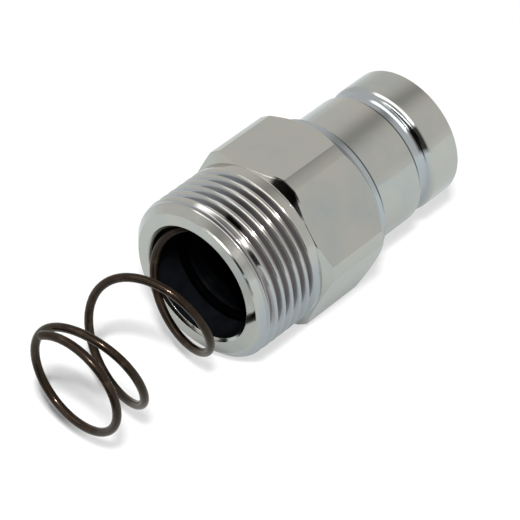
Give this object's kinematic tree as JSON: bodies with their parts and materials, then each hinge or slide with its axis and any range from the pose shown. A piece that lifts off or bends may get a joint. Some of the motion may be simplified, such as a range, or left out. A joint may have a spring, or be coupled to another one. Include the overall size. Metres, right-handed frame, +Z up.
{
  "type": "flat face hydraulic coupler",
  "caption": "Male flat face hydraulic coupler with a hexagon, an outside thread for a manifold port, a locking groove on its nose and a coil spring standing out of its rear bore.",
  "frame": {"origin": "on the coupler's axis, at the shoulder where the outside thread meets the hexagon", "axes": "+X along the axis towards the flat nose, -X towards the threaded end, +Z up through a flat of the hexagon"},
  "size_m": [0.0936, 0.0368, 0.0334],
  "materials": {
    "plated_steel": "bright zinc plate",
    "black_steel": "black phosphate, oiled",
    "bare_steel": "turned",
    "dark_steel": "phosphate",
    "spring_steel": "drawn wire",
    "oiled_spring_steel": "oil hardened dark brown wire",
    "seal_rubber": "smooth",
    "backup_plastic": "white"
  },
  "bodies": {
    "body": {"coupler_body": "plated_steel", "poppet_seal": "seal_rubber", "poppet_backup_ring": "backup_plastic", "valve_guide": "bare_steel", "guide_snap_ring": "dark_steel", "poppet_spring": "spring_steel", "rear_spring": "oiled_spring_steel"},
    "poppet": {"poppet": "plated_steel"},
    "check_piston": {"check_piston": "black_steel", "piston_seal": "seal_rubber", "piston_backup_ring": "backup_plastic", "relief_plug": "bare_steel", "relief_spring": "spring_steel"},
    "relief_ball": {"relief_ball": "bare_steel"}
  },
  "joints": [
    {"name": "poppet_slide", "type": "slide", "parent": "body", "child": "poppet", "axis": [-1, 0, 0], "range_m": [0, 0.006], "stiffness_N_per_m": 1500, "deforming": ["poppet_spring"]},
    {"name": "check_slide", "type": "slide", "parent": "body", "child": "check_piston", "axis": [-1, 0, 0], "range_m": [0, 0.005], "stiffness_N_per_m": 600, "deforming": ["rear_spring"]},
    {"name": "relief_slide", "type": "slide", "parent": "check_piston", "child": "relief_ball", "axis": [-1, 0, 0], "range_m": [0, 0.0012], "stiffness_N_per_m": 300, "deforming": ["relief_spring"]}
  ]
}
